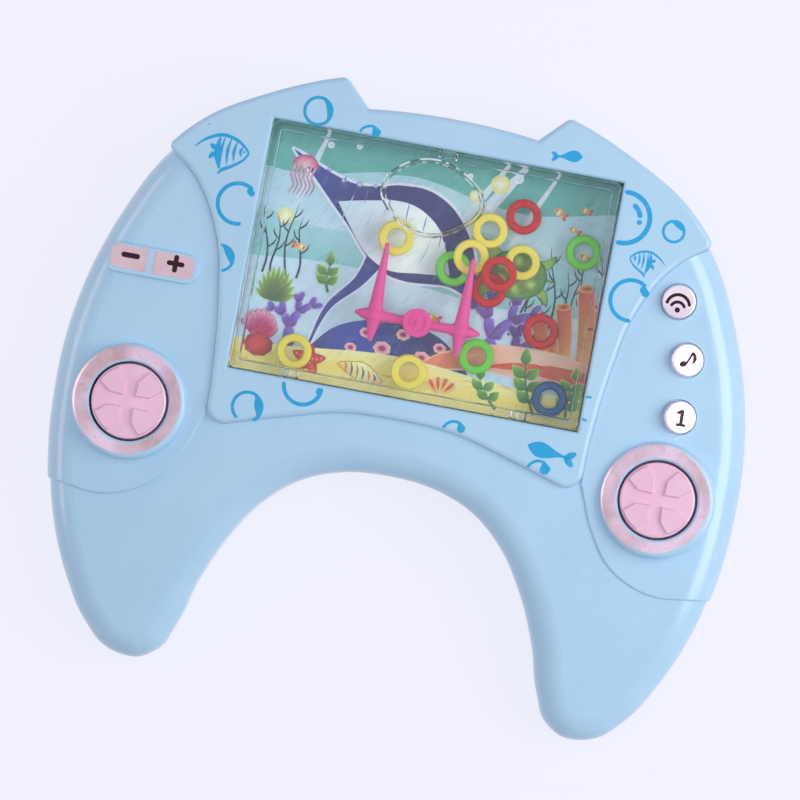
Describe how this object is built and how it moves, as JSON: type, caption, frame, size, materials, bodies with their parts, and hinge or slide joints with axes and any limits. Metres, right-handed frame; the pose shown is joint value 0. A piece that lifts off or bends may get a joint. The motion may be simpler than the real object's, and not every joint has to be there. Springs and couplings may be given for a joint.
{
  "type": "water ring toss game",
  "caption": "Hand-held water ring toss game shaped like a game pad, with a clear tank, pegs, loose rings and sprung pump buttons.",
  "frame": {"origin": "under the middle of the outline, on the surface the toy lies on", "axes": "+Z out of the window, +Y towards the ears, +X towards the right-hand pump button"},
  "size_m": [0.12, 0.1051, 0.0193],
  "materials": {
    "shell": "light blue moulded plastic, satin gloss",
    "cover": "light blue moulded plastic with blue print",
    "clear": "clear moulded plastic",
    "picture": "printed sea scene",
    "pink": "bright pink plastic",
    "cap_pink": "pale pink plastic",
    "foil": "pinkish silver hot foil",
    "cap_metal": "pinkish silver metallised plastic with dark mark",
    "yellow": "yellow plastic",
    "red": "red plastic",
    "green": "green plastic",
    "blue": "blue plastic",
    "rubber": "translucent white rubber",
    "hose": "soft clear hose",
    "plug": "soft clear plastic",
    "screw": "bright plated steel"
  },
  "bodies": {
    "casing": {"front_shell": "shell", "back_shell": "shell", "front_cover": "cover", "tank_body": "clear", "tank_back_plate": "clear", "picture_card": "picture", "peg_rack": "pink", "pump_foil_left": "foil", "pump_foil_right": "foil", "pump_bulb_left": "rubber", "pump_bulb_right": "rubber", "pump_hose_left": "hose", "pump_hose_right": "hose", "jet_nozzle_left": "clear", "jet_nozzle_right": "clear", "volume_minus_foil": "foil", "volume_plus_foil": "foil", "signal_cap": "cap_metal", "music_cap": "cap_metal", "number_cap": "cap_metal", "back_screws": "screw", "ring_yellow_2": "yellow", "ring_yellow_3": "yellow", "ring_yellow_4": "yellow", "ring_red_3": "red", "ring_green_1": "green"},
    "pump_button_left": {"pump_button_left": "cap_pink"},
    "pump_button_right": {"pump_button_right": "cap_pink"},
    "fill_plug": {"fill_plug": "plug"},
    "ring_yellow_1": {"ring_yellow_1": "yellow"},
    "ring_yellow_5": {"ring_yellow_5": "yellow"},
    "ring_yellow_6": {"ring_yellow_6": "yellow"},
    "ring_red_1": {"ring_red_1": "red"},
    "ring_red_2": {"ring_red_2": "red"},
    "ring_red_4": {"ring_red_4": "red"},
    "ring_green_2": {"ring_green_2": "green"},
    "ring_green_3": {"ring_green_3": "green"},
    "ring_blue_1": {"ring_blue_1": "blue"}
  },
  "joints": [
    {"name": "pump_press_left", "type": "slide", "parent": "casing", "child": "pump_button_left", "axis": [0, 0, -1], "range_m": [0, 0.0031], "stiffness_N_per_m": 900, "springref_m": -0.0006, "deforming": ["pump_bulb_left"]},
    {"name": "pump_press_right", "type": "slide", "parent": "casing", "child": "pump_button_right", "axis": [0, 0, -1], "range_m": [0, 0.0031], "stiffness_N_per_m": 900, "springref_m": -0.0006, "deforming": ["pump_bulb_right"]},
    {"name": "fill_plug_pull", "type": "slide", "parent": "casing", "child": "fill_plug", "axis": [0, 1, 0], "range_m": [0, 0.009]},
    {"name": "ring_yellow_1_float", "type": "slide", "parent": "casing", "child": "ring_yellow_1", "axis": [0, 0, 1], "range_m": [0, 0.0015]},
    {"name": "ring_yellow_5_float", "type": "slide", "parent": "casing", "child": "ring_yellow_5", "axis": [0, 0, 1], "range_m": [0, 0.0073]},
    {"name": "ring_yellow_6_float", "type": "slide", "parent": "casing", "child": "ring_yellow_6", "axis": [0, 0, 1], "range_m": [0, 0.0073]},
    {"name": "ring_red_1_float", "type": "slide", "parent": "casing", "child": "ring_red_1", "axis": [0, 0, 1], "range_m": [0, 0.0073]},
    {"name": "ring_red_2_float", "type": "slide", "parent": "casing", "child": "ring_red_2", "axis": [0, 0, 1], "range_m": [0, 0.0044]},
    {"name": "ring_red_4_float", "type": "slide", "parent": "casing", "child": "ring_red_4", "axis": [0, 0, 1], "range_m": [0, 0.0073]},
    {"name": "ring_green_2_float", "type": "slide", "parent": "casing", "child": "ring_green_2", "axis": [0, 0, 1], "range_m": [0, 0.0073]},
    {"name": "ring_green_3_float", "type": "slide", "parent": "casing", "child": "ring_green_3", "axis": [0, 0, 1], "range_m": [0, 0.0015]},
    {"name": "ring_blue_1_float", "type": "slide", "parent": "casing", "child": "ring_blue_1", "axis": [0, 0, 1], "range_m": [0, 0.0073]}
  ]
}
